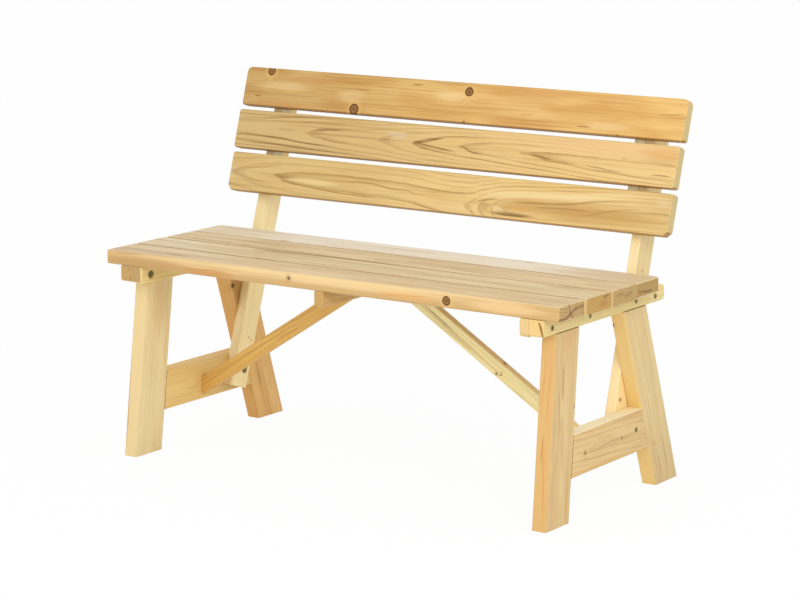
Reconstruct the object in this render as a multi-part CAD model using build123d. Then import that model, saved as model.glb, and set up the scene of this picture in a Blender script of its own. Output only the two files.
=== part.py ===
# Garden bench of sawn softwood boards, with a raked back.
# Millimetres. X runs along the seat, Y from the front edge to the back, Z up from the floor.
# The pieces are laid out with Y = 0 on the seat's front edge, and at the end the whole bench is
# moved so that its origin is the centre of its footprint, on the floor.
# The two end frames are drawn upright and then leaned towards each other at the top.
from build123d import *
from math import atan2, cos, pi, radians, sin, tan
import os

# ---------------------------------------------------------------- driving dimensions
# Seat
seat_height = 438.0          # floor to the top of the planks
seat_length = 1100.0
plank_width = 91.0
plank_thickness = 30.0
plank_gap = 4.5              # drain gap between two planks
# Each plank is laid by eye: how far its ends lie to the right of the middle.
plank_shift = {"front": -2.0, "second": 0.5, "third": 2.0, "rear": -1.0}
nose_radius = 5.0            # front edges of the front plank, lower front corners of the rails
rear_corner_radius = 8.0     # rear corners of the rear plank, in plan

# End frames: two legs, a stretcher and a top rail in one plane
frame_thickness = 32.0
frame_splay = 0.92           # degrees, the feet further apart than the tops
plank_overhang = 35.5        # planks beyond the rails' outer faces
leg_width = 84.5             # square to the leg
front_leg_lean = 6.35        # degrees, the foot ahead of the top
rear_leg_lean = 18.8         # degrees, the foot behind the top
front_foot_setback = 5.5     # front foot behind the seat's front edge
rear_leg_reach = 10.0        # rear leg's top beyond the seat's rear edge
rail_height = 33.0
rail_setback = 1.0           # rail and cleat ends behind the seat's front edge
rail_tail = 12.0             # rail beyond the back post
rail_tail_radius = 9.0       # rounded corners of the rail's rear end
rail_edge_radius = 5.0       # lower outer edge of the rails
rail_fastener_drop = 2.0     # bolts and screws below the middle of the rails
stretcher_width = 85.0
stretcher_clearance = 84.0   # floor to the stretcher's lower edge

# Boards on the inner side of the frames, the batten and the braces
board_thickness = 22.0
cleat_drop = 2.5             # cleats below the rails' undersides
cleat_post_gap = 5.0         # end of the cleat to the back post
batten_shift = -8.0          # batten to the right of the middle
batten_setback = 3.0         # batten ends behind the edges of the seat
corner_radius = 8.0          # lower front corners of the cleats and the batten
brace_thickness = 18.0
brace_width = 33.0           # square to the brace
brace_setback = 223.0        # front face of the braces from the seat's front edge
brace_foot_rise = 9.5        # foot of the brace above the stretcher's lower edge
brace_head_drop = 17.2       # head of the brace below the seat

# Back
back_rake = 17.2             # degrees from upright
post_depth = 57.0
post_gap = 23.0              # post behind the rear plank, at the level of the seat
post_below_seat = 350.0      # length of the post below the level of the seat
post_top_drop = 14.0         # top of the post below the top slat's upper edge
slat_length = 1098.0
slat_width = 85.0
slat_thickness = 25.0
slat_gap = 10.0
first_slat_rise = 72.5       # lowest slat above the seat, along the back
# How far each slat's ends lie to the right of the middle.
slat_shift = {"bottom": 1.0, "middle": -1.5, "top": 1.0}
top_corner_radius = 12.0     # upper corners of the top slat
low_corner_cut = 10.0        # clipped lower corners of the bottom slat
corner_cut = 4.0             # the slats' other corners

# Arrises
arris = 3.0                  # long edges of planks, legs and stretchers
small_arris = 2.0            # edges of the thin boards, slats and rails

# Fasteners
screw_diameter = 4.5
screw_head_diameter = 9.0
seat_screw_length = 50.0     # from below through cleats and batten into the planks
slat_screw_length = 50.0     # from behind through the posts into the slats
slat_screw_bite = 16.0       # depth of the slat screws in a slat
slat_screw_spacing = 44.0
rail_screw_length = 50.0     # from outside through the rail into the cleat
second_plank_offset = 29.5   # rail screw behind the middle of the second plank
rear_plank_offset = 14.5     # rail screw behind the middle of the rear plank
leg_screw_diameter = 6.0
leg_screw_head_diameter = 12.0
leg_screw_length = 90.0      # from the rail's top down into the legs
leg_screw_spacing = 38.0
brace_screw_length = 40.0
brace_screw_bite = 18.0      # depth of the brace screws in stretcher and plank
bolt_diameter = 6.0
bolt_head_diameter = 11.0
bolt_recess_diameter = 18.0  # counterbore round nut and washer
bolt_recess_depth = 9.0
bolt_end = 1.0               # bolt beyond its nut
cleat_bolt_offset = 13.0     # bolt ahead of the middle of the front plank
post_bolt_rise = 46.0        # lower post bolt above the stretcher's lower edge
high_post_bolt_offset = 8.5  # upper post bolt behind the middle of the post
high_post_bolt_drop = 2.5    # and below the rails' other fasteners
low_post_bolt_offset = 12.0  # lower post bolt behind the middle of the post
washer_diameter = 14.0
washer_thickness = 1.6
nut_width = 10.0             # across the flats
nut_height = 5.0
recess_span = 0.55           # cross recess over the head's diameter
recess_slot = 1.0
recess_depth = 1.6
tip_radius = 0.3             # blunted points of the screws
dowel_diameter = 10.0
dowel_length = 60.0
dowel_spacing = 40.0
dowel_chamfer = 1.0
hole_clearance = 0.1         # all round screws, bolts and dowels
plain_sides = 8              # facets round the hidden screws
fine_sides = 12              # facets round the bolts and the screws that show

# ---------------------------------------------------------------- derived places
plank_names = list(plank_shift)
plank_pitch = plank_width + plank_gap
plank_front = {name: plank_pitch * i for i, name in enumerate(plank_names)}
plank_middle = {name: front + plank_width / 2 for name, front in plank_front.items()}
seat_depth = plank_pitch * len(plank_names) - plank_gap
seat_underside = seat_height - plank_thickness
leg_top = seat_underside - rail_height
cleat_low = leg_top - cleat_drop
rail_line = seat_underside - rail_height / 2 - rail_fastener_drop
frame_outside = seat_length / 2 - plank_overhang
frame_inside = frame_outside - frame_thickness
frame_middle = (frame_outside + frame_inside) / 2
inner_layer = frame_inside - board_thickness
inner_middle = (frame_inside + inner_layer) / 2
stretcher_low = stretcher_clearance
stretcher_high = stretcher_low + stretcher_width

rake = radians(back_rake)
splay = radians(frame_splay)
post_front_at_seat = seat_depth + post_gap


def back_point(along, behind):
    """Place on the side view of the back: along the post's front face from the level of the
    seat, and behind that face."""
    y = post_front_at_seat + along * sin(rake) + behind * cos(rake)
    z = seat_height + along * cos(rake) - behind * sin(rake)
    return y, z


def post_face(z, behind):
    """Y of the plane that lies behind the post's front face, at height z."""
    along = (z - seat_height + behind * sin(rake)) / cos(rake)
    return back_point(along, behind)[0]


slat_names = list(slat_shift)
slat_pitch = slat_width + slat_gap
slat_low = {name: first_slat_rise + slat_pitch * i for i, name in enumerate(slat_names)}
post_top = slat_low["top"] + slat_width - post_top_drop
rail_rear = post_face(rail_line, post_depth) + rail_tail
cleat_rear = post_face(cleat_low, 0) - cleat_post_gap


def front_leg_face(z, from_front):
    """Y of the front leg's front face moved back by from_front, square to the leg, at height z."""
    angle = radians(front_leg_lean)
    return front_foot_setback + z * tan(angle) + from_front / cos(angle)


def rear_leg_face(z, from_front):
    """Y of the rear leg's front face moved back by from_front, square to the leg, at height z."""
    angle = radians(rear_leg_lean)
    top_rear = seat_depth + rear_leg_reach
    return top_rear + (leg_top - z) * tan(angle) - (leg_width - from_front) / cos(angle)


def frame_plane(z):
    """X of the leaned frame's inner face at height z."""
    return frame_inside + (leg_top - z) * tan(splay)


# ---------------------------------------------------------------- shared shapes
def lean(shape):
    """Lean a shape of the right-hand frame inwards, about the line where its inner face meets
    the rail's underside."""
    hinge = Pos(frame_inside, 0, leg_top)
    return hinge * Rot(0, -frame_splay, 0) * hinge.inverse() * shape


def side_board(points, x_low, x_high):
    """Board whose outline is drawn in the side view, as points (y, z)."""
    outline = Polyline(*[(x_low, y, z) for y, z in points], close=True)
    return extrude(make_face(outline), amount=x_high - x_low, dir=(1, 0, 0))


def rounded_at(board, y, z, radius):
    """Round the edge of a side board that runs along X through (y, z)."""
    edges = board.edges().filter_by(Axis.X)
    edge = edges.sort_by(lambda e: abs(e.center().Y - y) + abs(e.center().Z - z))[0]
    return fillet(edge, radius)


def eased_sides(board, size):
    """Ease the outline's edges on a side board's two broad faces."""
    faces = board.faces().sort_by(Axis.X)
    return chamfer(faces[0].edges() + faces[-1].edges(), size)


def long_arrises(board):
    """The four longest edges of a plain board."""
    return board.edges().sort_by(SortBy.LENGTH)[-4:]


def mirrored(shape):
    return mirror(shape, about=Plane.YZ)


def aimed(shape, point, direction):
    """Take a shape made along +Z from the origin and start it at the point, in the direction."""
    return Plane(origin=point, z_dir=direction).location * shape


def drilled(board, holes):
    for hole in holes:
        board = board - hole
    return board


# ---------------------------------------------------------------- fasteners
def faceted(profile, sides):
    """Flat-sided shape round the Z axis through (height, radius) pairs, listed upwards."""
    turns = [2 * pi * side / sides for side in range(sides)]
    rings = [[Vector(radius * cos(turn), radius * sin(turn), z) for turn in turns] for z, radius in profile]
    outlines = [rings[0], rings[-1]]
    for low, high in zip(rings, rings[1:]):
        for side in range(sides):
            after = (side + 1) % sides
            outlines.append([low[side], low[after], high[after], high[side]])
    return Solid(Shell([Face(Wire.make_polygon(outline, close=True)) for outline in outlines]))


def countersunk(diameter, head, length, point_length, sides):
    """Flat-head screw along +Z with the top of its head at the origin."""
    shank = diameter / 2
    profile = [(0, head / 2), (head / 2 - shank, shank), (length - point_length, shank)]
    if point_length:
        profile.append((length, tip_radius))
    return faceted(profile, sides)


def countersunk_hole(diameter, head, length, sides, reach=0.0):
    """Hole for the screw above, open for reach before its head."""
    wide = head / 2 + hole_clearance
    narrow = diameter / 2 + hole_clearance
    open_end = -reach - head
    return faceted(
        [(open_end, wide), (0, wide), ((head - diameter) / 2, narrow), (length + hole_clearance, narrow)],
        sides)


def cross_recessed(screw, head):
    """Cut a cross recess for the driver into the head."""
    slot = Box(head * recess_span, recess_slot, recess_depth, align=(Align.CENTER, Align.CENTER, Align.MIN))
    return screw - slot - Rot(0, 0, 90) * slot


def wood_screw(length, sides=plain_sides):
    return countersunk(screw_diameter, screw_head_diameter, length, screw_diameter, sides)


def wood_screw_hole(length, reach=0.0, sides=plain_sides):
    return countersunk_hole(screw_diameter, screw_head_diameter, length, sides, reach)


bolt_grip = frame_thickness + board_thickness - bolt_recess_depth
bolt_length = bolt_grip + washer_thickness + nut_height + bolt_end


def bolt():
    plain = countersunk(bolt_diameter, bolt_head_diameter, bolt_length, 0.0, fine_sides)
    return cross_recessed(plain, bolt_head_diameter)


def bolt_hole():
    """Bore and countersink through both boards, with the counterbore for the nut."""
    through = frame_thickness + board_thickness
    bore = countersunk_hole(bolt_diameter, bolt_head_diameter, through, fine_sides)
    recess = faceted(
        [(bolt_grip, bolt_recess_diameter / 2), (through + bolt_recess_depth, bolt_recess_diameter / 2)],
        fine_sides)
    return bore + recess


def bolt_bore():
    return RegularPolygon(bolt_diameter / 2 + hole_clearance, fine_sides)


def washer():
    ring = RegularPolygon(washer_diameter / 2, fine_sides) - bolt_bore()
    return Pos(0, 0, bolt_grip) * extrude(ring, washer_thickness)


def nut():
    ring = RegularPolygon(nut_width / 2, 6, major_radius=False) - bolt_bore()
    return Pos(0, 0, bolt_grip + washer_thickness) * extrude(ring, nut_height)


def dowel():
    half, radius = dowel_length / 2, dowel_diameter / 2
    return faceted(
        [(-half, radius - dowel_chamfer), (dowel_chamfer - half, radius), (half - dowel_chamfer, radius),
         (half, radius - dowel_chamfer)], plain_sides)


def dowel_hole():
    half, radius = dowel_length / 2 + hole_clearance, dowel_diameter / 2 + hole_clearance
    return faceted([(-half, radius), (half, radius)], plain_sides)


# ---------------------------------------------------------------- where the fasteners go
# Each starts at a place of the right-hand side and is driven in a direction. Those in the leaned
# frame are placed as if it stood upright, and leaned with it.
inward = (-1, 0, 0)
seat_screw_places = [(inner_middle, y, cleat_low) for y in plank_middle.values()]
batten_screw_places = [(batten_shift, y, leg_top) for y in plank_middle.values()]
rail_screw_places = [
    (frame_outside, plank_middle["second"] + second_plank_offset, rail_line),
    (frame_outside, plank_middle["rear"] + rear_plank_offset, rail_line)]
leg_screw_places = []
for leg_face in (front_leg_face, rear_leg_face):
    for side in (-0.5, 0.5):
        y = leg_face(leg_top, leg_width / 2) + side * leg_screw_spacing
        leg_screw_places.append((frame_middle, y, seat_underside))
high_bolt_height = rail_line - high_post_bolt_drop
low_bolt_height = stretcher_low + post_bolt_rise
cleat_bolt_place = (frame_outside, plank_middle["front"] - cleat_bolt_offset, rail_line)
post_bolt_places = [
    (frame_outside, post_face(high_bolt_height, post_depth / 2) + high_post_bolt_offset, high_bolt_height),
    (frame_outside, post_face(low_bolt_height, post_depth / 2) + low_post_bolt_offset, low_bolt_height)]
dowel_places = []
for leg_face, from_front in ((front_leg_face, leg_width), (rear_leg_face, 0.0)):
    for side in (-0.5, 0.5):
        z = (stretcher_low + stretcher_high) / 2 + side * dowel_spacing
        dowel_places.append((frame_middle, leg_face(z, from_front), z))
slat_screw_depth = slat_screw_length - slat_screw_bite
slat_screw_way = (0, -cos(rake), sin(rake))
slat_screw_places = []
for low in slat_low.values():
    for side in (-0.5, 0.5):
        along = low + slat_width / 2 + side * slat_screw_spacing
        slat_screw_places.append((inner_middle, *back_point(along, slat_screw_depth)))

# Braces: their lower edges run from the stretchers up to the batten
brace_foot = stretcher_low + brace_foot_rise
brace_head = seat_underside - brace_head_drop
brace_middle = brace_setback + brace_thickness / 2
brace_screw_start = brace_screw_length - brace_screw_bite
batten_face = {"right": board_thickness / 2 + batten_shift, "left": board_thickness / 2 - batten_shift}


def brace_slope(side):
    """Rise of the brace over its run, from the stretcher to the batten."""
    return (brace_head - brace_foot) / (frame_plane(brace_foot) - batten_face[side])


def brace_cut(side):
    """Height of the brace's vertical foot."""
    return brace_width / cos(atan2(brace_slope(side), 1))


def brace_foot_screw_place(side):
    z = brace_foot + brace_cut(side) / 2
    return frame_plane(z) - brace_screw_start, brace_middle, z


def brace_head_screw_place(side):
    x = batten_face[side] + board_thickness / 2 + brace_head_drop
    return x, brace_middle, seat_underside - brace_screw_start


def upright(shape, places, direction):
    return [aimed(shape, place, direction) for place in places]


def leaned(shape, places, direction):
    return [lean(aimed(shape, place, direction)) for place in places]


def both_sides(shapes):
    return shapes + [mirrored(shape) for shape in shapes]


dowel_holes = leaned(dowel_hole(), dowel_places, (0, 1, 0))
leg_screw_hole = countersunk_hole(leg_screw_diameter, leg_screw_head_diameter, leg_screw_length, plain_sides)
leg_screw_holes = upright(leg_screw_hole, leg_screw_places, (0, 0, -1))
rail_screw_hole = wood_screw_hole(rail_screw_length, sides=fine_sides)
rail_screw_holes = upright(rail_screw_hole, rail_screw_places, inward)
cleat_bolt_holes = upright(bolt_hole(), [cleat_bolt_place], inward)
post_bolt_holes = leaned(bolt_hole(), post_bolt_places, inward)
slat_screw_holes = leaned(
    wood_screw_hole(slat_screw_length, post_depth), slat_screw_places, slat_screw_way)
seat_screw_holes = both_sides(upright(wood_screw_hole(seat_screw_length), seat_screw_places, (0, 0, 1)))
batten_screw_holes = upright(wood_screw_hole(seat_screw_length), batten_screw_places, (0, 0, 1))
brace_screw_hole = wood_screw_hole(brace_screw_length, brace_width)
brace_foot_hole = {
    side: aimed(brace_screw_hole, brace_foot_screw_place(side), (1, 0, 0)) for side in batten_face}
brace_head_hole = {
    side: aimed(brace_screw_hole, brace_head_screw_place(side), (0, 0, 1)) for side in batten_face}


# ---------------------------------------------------------------- wooden pieces
# Those of an end frame are made for the right-hand side.
def seat_plank(name):
    front, rear = plank_front[name], plank_front[name] + plank_width
    board = side_board(
        [(front, seat_underside), (rear, seat_underside), (rear, seat_height), (front, seat_height)],
        -seat_length / 2, seat_length / 2)
    if name == "front":
        board = rounded_at(board, front, seat_height, nose_radius)
        board = rounded_at(board, front, seat_underside, nose_radius)
        board = rounded_at(board, rear, seat_height, arris)
        board = rounded_at(board, rear, seat_underside, arris)
    elif name == "rear":
        board = rounded_at(board, front, seat_height, arris)
        board = rounded_at(board, front, seat_underside, arris)
        board = fillet(board.edges().filter_by(Axis.Z).sort_by(Axis.Y)[-2:], rear_corner_radius)
        rear_face = board.faces().sort_by(Axis.Y)[-1]
        board = chamfer(rear_face.edges().filter_by(Axis.X), small_arris)
    else:
        board = fillet(board.edges().filter_by(Axis.X), arris)
    board = Pos(plank_shift[name], 0, 0) * board
    holes = seat_screw_holes + batten_screw_holes
    if front < brace_middle < rear:
        holes = holes + [brace_head_hole["right"], mirrored(brace_head_hole["left"])]
    return drilled(board, holes)


def leg(leg_face):
    """Leg with long arrises eased, leaned, and then sawn level at the floor and the rail."""
    spare = frame_thickness
    low, high = -spare, leg_top + spare
    board = side_board(
        [(leg_face(low, 0), low), (leg_face(low, leg_width), low),
         (leg_face(high, leg_width), high), (leg_face(high, 0), high)],
        frame_inside, frame_outside)
    board = lean(fillet(long_arrises(board), arris))
    board = split(board, bisect_by=Plane.XY, keep=Keep.TOP)
    board = split(board, bisect_by=Plane.XY.offset(leg_top), keep=Keep.BOTTOM)
    return drilled(board, leg_screw_holes + dowel_holes)


def stretcher(side):
    low, high = stretcher_low, stretcher_high
    board = side_board(
        [(front_leg_face(low, leg_width), low), (rear_leg_face(low, 0), low),
         (rear_leg_face(high, 0), high), (front_leg_face(high, leg_width), high)],
        frame_inside, frame_outside)
    board = lean(fillet(long_arrises(board), arris))
    return drilled(board, dowel_holes + post_bolt_holes + [brace_foot_hole[side]])


def top_rail():
    """Rail with its ends rounded in the side view and its outer long edges eased."""
    front, low, high = rail_setback, leg_top, seat_underside
    plain = side_board(
        [(front, low), (rail_rear, low), (rail_rear, high), (front, high)], frame_inside, frame_outside)
    board = rounded_at(plain, rail_rear, low, rail_tail_radius)
    board = rounded_at(board, rail_rear, high, rail_tail_radius)
    board = rounded_at(board, front, low, nose_radius)
    outer_edges = plain.faces().sort_by(Axis.X)[-1].edges().filter_by(Axis.Y).sort_by(Axis.Z)
    section = fillet(outer_edges[0], rail_edge_radius)
    section = chamfer(section.edges().filter_by(Axis.Y).group_by(Axis.Z)[-1].sort_by(Axis.X)[-1], small_arris)
    return drilled(board & section, leg_screw_holes + cleat_bolt_holes + post_bolt_holes + rail_screw_holes)


def inner_cleat():
    front, low, high = rail_setback, cleat_low, seat_underside
    board = side_board(
        [(front, low), (cleat_rear, low), (cleat_rear, high), (front, high)], inner_layer, frame_inside)
    board = rounded_at(board, front, low, corner_radius)
    board = eased_sides(board, small_arris)
    return drilled(board, seat_screw_holes + cleat_bolt_holes + rail_screw_holes)


def back_post():
    board = side_board(
        [back_point(-post_below_seat, 0), back_point(-post_below_seat, post_depth),
         back_point(post_top, post_depth), back_point(post_top, 0)], inner_layer, frame_inside)
    board = lean(chamfer(long_arrises(board), small_arris))
    return drilled(board, post_bolt_holes + slat_screw_holes)


def brace(side):
    """Brace with its foot cut to the leaned stretcher and its head to the batten and the seat."""
    upper_foot = brace_foot + brace_cut(side)
    shoulder = frame_plane(upper_foot) - (seat_underside - upper_foot) / brace_slope(side)
    corners = [
        (frame_plane(brace_foot), brace_foot), (frame_plane(upper_foot), upper_foot),
        (shoulder, seat_underside), (batten_face[side], seat_underside), (batten_face[side], brace_head)]
    outline = Polyline(*[(x, brace_setback, z) for x, z in corners], close=True)
    board = extrude(make_face(outline), amount=brace_thickness, dir=(0, 1, 0))
    board = chamfer(long_arrises(board), small_arris)
    return drilled(board, [brace_foot_hole[side], brace_head_hole[side]])


def centre_batten():
    front, rear = batten_setback, seat_depth - batten_setback
    board = side_board(
        [(front, leg_top), (rear, leg_top), (rear, seat_underside), (front, seat_underside)],
        -board_thickness / 2, board_thickness / 2)
    board = rounded_at(board, front, leg_top, corner_radius)
    board = Pos(batten_shift, 0, 0) * eased_sides(board, small_arris)
    return drilled(board, batten_screw_holes)


def slat_corners(board):
    """Edges through the thickness of a slat, listed upwards."""
    return board.edges().filter_by(lambda e: e.length < slat_width / 2).sort_by(Axis.Z)


def slat(name):
    low, high = slat_low[name], slat_low[name] + slat_width
    board = side_board(
        [back_point(low, -slat_thickness), back_point(low, 0), back_point(high, 0),
         back_point(high, -slat_thickness)], -slat_length / 2, slat_length / 2)
    board = chamfer(slat_corners(board)[:2], low_corner_cut if name == "bottom" else corner_cut)
    upper = slat_corners(board)[-2:]
    board = fillet(upper, top_corner_radius) if name == "top" else chamfer(upper, corner_cut)
    broad = board.faces().sort_by(SortBy.AREA)[-2:]
    board = chamfer(broad[0].edges() + broad[1].edges(), small_arris)
    return drilled(Pos(slat_shift[name], 0, 0) * board, both_sides(slat_screw_holes))


# ---------------------------------------------------------------- the assembly
pieces = {}
for name in plank_names:
    pieces["seat_plank_" + name] = seat_plank(name)
for name in slat_names:
    pieces["backrest_slat_" + name] = slat(name)
pieces["centre_batten"] = centre_batten()
paired = {
    "front_leg": leg(front_leg_face), "rear_leg": leg(rear_leg_face), "top_rail": top_rail(),
    "inner_cleat": inner_cleat(), "back_post": back_post()}
for name, shape in paired.items():
    pieces[name + "_right"] = shape
    pieces[name + "_left"] = mirrored(shape)
for name, make in (("stretcher", stretcher), ("brace", brace)):
    pieces[name + "_right"] = make("right")
    pieces[name + "_left"] = mirrored(make("left"))

leg_screw = countersunk(
    leg_screw_diameter, leg_screw_head_diameter, leg_screw_length, leg_screw_diameter, plain_sides)
seat_screw = wood_screw(seat_screw_length)
brace_screw = wood_screw(brace_screw_length)
rail_screw = cross_recessed(wood_screw(rail_screw_length, fine_sides), screw_head_diameter)
brace_screws = []
for side in batten_face:
    driven = [aimed(brace_screw, brace_foot_screw_place(side), (1, 0, 0)),
              aimed(brace_screw, brace_head_screw_place(side), (0, 0, 1))]
    brace_screws += driven if side == "right" else [mirrored(screw) for screw in driven]


def bolted(shape):
    """Copies of a bolt's part at each bolt."""
    return both_sides(upright(shape, [cleat_bolt_place], inward) + leaned(shape, post_bolt_places, inward))


groups = {
    "seat_screws": both_sides(upright(seat_screw, seat_screw_places, (0, 0, 1)))
    + upright(seat_screw, batten_screw_places, (0, 0, 1)),
    "slat_screws": both_sides(leaned(wood_screw(slat_screw_length), slat_screw_places, slat_screw_way)),
    "rail_screws": both_sides(upright(rail_screw, rail_screw_places, inward)),
    "leg_screws": both_sides(upright(leg_screw, leg_screw_places, (0, 0, -1))),
    "brace_screws": brace_screws,
    "frame_bolts": bolted(bolt()),
    "bolt_washers": bolted(washer()),
    "bolt_nuts": bolted(nut()),
    "stretcher_dowels": both_sides(leaned(dowel(), dowel_places, (0, 1, 0))),
}
for name, copies in groups.items():
    pieces[name] = Compound([copy.solid() for copy in copies])

# Origin: centre of the bench's footprint, on the floor
extent = Compound([solid for piece in pieces.values() for solid in piece.solids()]).bounding_box()
to_origin = Pos(-(extent.min.X + extent.max.X) / 2, -(extent.min.Y + extent.max.Y) / 2, -extent.min.Z)

os.makedirs("parts", exist_ok=True)
for name, piece in pieces.items():
    export_step(to_origin * piece, os.path.join("parts", name + ".step"))
print("size", [round(v, 1) for v in extent.size], "shift", to_origin.position)
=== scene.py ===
# Two-seat garden bench of sawn softwood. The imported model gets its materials, soft edges, light,
# floor and camera, and two cleats behind the back slats that the model doesn't have.
# Metres, in the model's own frame: +X along the seat, +Y to the back, +Z up.
import bmesh
import bpy
import math
from mathutils import Euler, Matrix, Vector


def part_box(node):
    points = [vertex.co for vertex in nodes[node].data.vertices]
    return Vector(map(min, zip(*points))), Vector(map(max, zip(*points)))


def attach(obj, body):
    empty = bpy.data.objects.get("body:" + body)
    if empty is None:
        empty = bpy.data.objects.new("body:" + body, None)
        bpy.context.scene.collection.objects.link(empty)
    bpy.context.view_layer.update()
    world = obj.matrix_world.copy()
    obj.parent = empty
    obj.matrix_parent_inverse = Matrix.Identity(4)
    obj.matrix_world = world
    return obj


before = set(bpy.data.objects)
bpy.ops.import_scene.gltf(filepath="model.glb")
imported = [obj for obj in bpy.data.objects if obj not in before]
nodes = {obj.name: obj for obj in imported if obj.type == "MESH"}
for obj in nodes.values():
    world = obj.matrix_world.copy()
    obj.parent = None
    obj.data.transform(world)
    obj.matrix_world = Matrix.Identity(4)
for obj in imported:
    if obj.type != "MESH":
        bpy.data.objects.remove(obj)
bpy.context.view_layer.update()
MM = 0.001


# ---------------------------------------------------------------- camera
# Measured from the seat's front edge, in the middle of its length, on the floor.
CAMERA_PLACE = Vector((3032.2, -4087.6, 1390.1)) * MM
CAMERA_TURN = 0.60748        # radians to the left of straight on
CAMERA_DIP = 0.19387         # radians below the horizon
CAMERA_ROLL = -0.00173       # radians
CAMERA_LENS = 118.70         # mm
SENSOR_WIDTH = 36.0          # mm
FARTHEST_SEEN = 80.0         # metres, past the far corners of the floor


def add_camera():
    data = bpy.data.cameras.new("camera")
    data.lens = CAMERA_LENS
    data.sensor_width = SENSOR_WIDTH
    data.clip_end = FARTHEST_SEEN
    camera = bpy.data.objects.new("camera", data)
    bpy.context.scene.collection.objects.link(camera)
    seat_front = Vector((0.0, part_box("seat_plank_front")[0][1], 0.0))
    aim = Euler((math.pi / 2 - CAMERA_DIP, 0.0, CAMERA_TURN)).to_matrix()
    aim = aim @ Matrix.Rotation(CAMERA_ROLL, 3, "Z")
    camera.location = seat_front + CAMERA_PLACE
    camera.rotation_euler = aim.to_euler()
    bpy.context.scene.camera = camera


# ---------------------------------------------------------------- shader arithmetic
def plug(tree, slot, value):
    """Give an input a constant, or link it to a field."""
    if isinstance(value, Field):
        tree.links.new(value.socket, slot)
    elif slot.type == "RGBA":
        slot.default_value = (*value, 1.0)
    else:
        slot.default_value = value


class Field:
    """Something that varies over a surface: the output of a shader node, open to arithmetic."""

    def __init__(self, tree, socket):
        self.tree = tree
        self.socket = socket

    def math(self, operation, *others):
        node = self.tree.nodes.new("ShaderNodeMath")
        node.operation = operation
        for slot, value in zip(node.inputs, (self, *others)):
            plug(self.tree, slot, value)
        return Field(self.tree, node.outputs[0])

    def __add__(self, other):
        return self.math("ADD", other)

    def __sub__(self, other):
        return self.math("SUBTRACT", other)

    def __mul__(self, other):
        return self.math("MULTIPLY", other)

    def __truediv__(self, other):
        return self.math("DIVIDE", other)

    def vector(self, operation, other):
        node = self.tree.nodes.new("ShaderNodeVectorMath")
        node.operation = operation
        plug(self.tree, node.inputs[0], self)
        plug(self.tree, node.inputs[1], other)
        return Field(self.tree, node.outputs["Value" if operation == "DOT_PRODUCT" else "Vector"])

    def step(self, low, high, from_value=0.0, to_value=1.0):
        """Smooth change from one value to another between two thresholds."""
        node = self.tree.nodes.new("ShaderNodeMapRange")
        node.interpolation_type = "SMOOTHSTEP"
        for slot, value in zip(node.inputs, (self, low, high, from_value, to_value)):
            plug(self.tree, slot, value)
        return Field(self.tree, node.outputs[0])

    def curve(self, points):
        """Smooth curve through (input, output) pairs, listed by input."""
        low, high = points[0][0], points[-1][0]
        values = [value for _, value in points]
        base, span = min(values), max(max(values) - min(values), 1e-6)
        node = self.tree.nodes.new("ShaderNodeFloatCurve")
        line = node.mapping.curves[0].points
        for place, value in points[1:-1]:
            line.new((place - low) / (high - low), (value - base) / span)
        line[0].location = (0.0, (points[0][1] - base) / span)
        line[-1].location = (1.0, (points[-1][1] - base) / span)
        node.mapping.update()
        plug(self.tree, node.inputs[1], (self - low) / (high - low))
        return Field(self.tree, node.outputs[0]) * span + base

    def parts(self):
        node = self.tree.nodes.new("ShaderNodeSeparateXYZ")
        plug(self.tree, node.inputs[0], self)
        return [Field(self.tree, output) for output in node.outputs]

    def noise(self, grain, detail, roughness):
        """Three noises of a place, one grain as long as given in each direction."""
        place = self.vector("MULTIPLY", tuple(1.0 / size for size in grain))
        node = self.tree.nodes.new("ShaderNodeTexNoise")
        plug(self.tree, node.inputs["Vector"], place)
        plug(self.tree, node.inputs["Scale"], 1.0)
        plug(self.tree, node.inputs["Detail"], detail)
        plug(self.tree, node.inputs["Roughness"], roughness)
        return Field(self.tree, node.outputs["Color"]).parts()

    def chance(self, seed):
        """A different random number for each whole number."""
        node = self.tree.nodes.new("ShaderNodeTexWhiteNoise")
        node.noise_dimensions = "1D"
        plug(self.tree, node.inputs["W"], self + seed)
        return Field(self.tree, node.outputs["Value"])


def joined(x, y, z):
    node = x.tree.nodes.new("ShaderNodeCombineXYZ")
    for slot, value in zip(node.inputs, (x, y, z)):
        plug(x.tree, slot, value)
    return Field(x.tree, node.outputs[0])


def length(x, y):
    return (x * x + y * y).math("SQRT")


def segment(x, y, start, end):
    """Distance from a straight stroke."""
    run, rise = end[0] - start[0], end[1] - start[1]
    dx, dy = x - start[0], y - start[1]
    share = (dx * run + dy * rise) / (run * run + rise * rise)
    share = share.math("MINIMUM", 1.0).math("MAXIMUM", 0.0)
    return length(dx - share * run, dy - share * rise)


STROKE_CORE = 0.25           # share of a stroke's width over which it is full


def near(distance, width):
    """1 on a stroke or in a spot, fading to 0 at the width."""
    return distance.step(width * STROKE_CORE, width, 1.0, 0.0)


def blend(share, base, other):
    """Base colour where share is 0, the other colour where it is 1."""
    node = share.tree.nodes.new("ShaderNodeMix")
    node.data_type = "RGBA"
    for slot, value in zip([node.inputs[0], node.inputs[6], node.inputs[7]], (share, base, other)):
        plug(share.tree, slot, value)
    return Field(share.tree, node.outputs[2])


def dimmed(colour, factor):
    return colour.vector("MULTIPLY", joined(factor, factor, factor))


def tone(red, green, blue):
    """A colour given as it shows on a screen, 0 to 255."""
    def linear(level):
        level /= 255
        return level / 12.92 if level <= 0.04045 else ((level + 0.055) / 1.055) ** 2.4
    return linear(red), linear(green), linear(blue)


SPECULAR = 0.2


def new_material(name):
    material = bpy.data.materials.new(name)
    material.use_nodes = True
    shader = material.node_tree.nodes["Principled BSDF"]
    shader.inputs["Specular IOR Level"].default_value = SPECULAR
    return material, material.node_tree, shader


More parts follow.
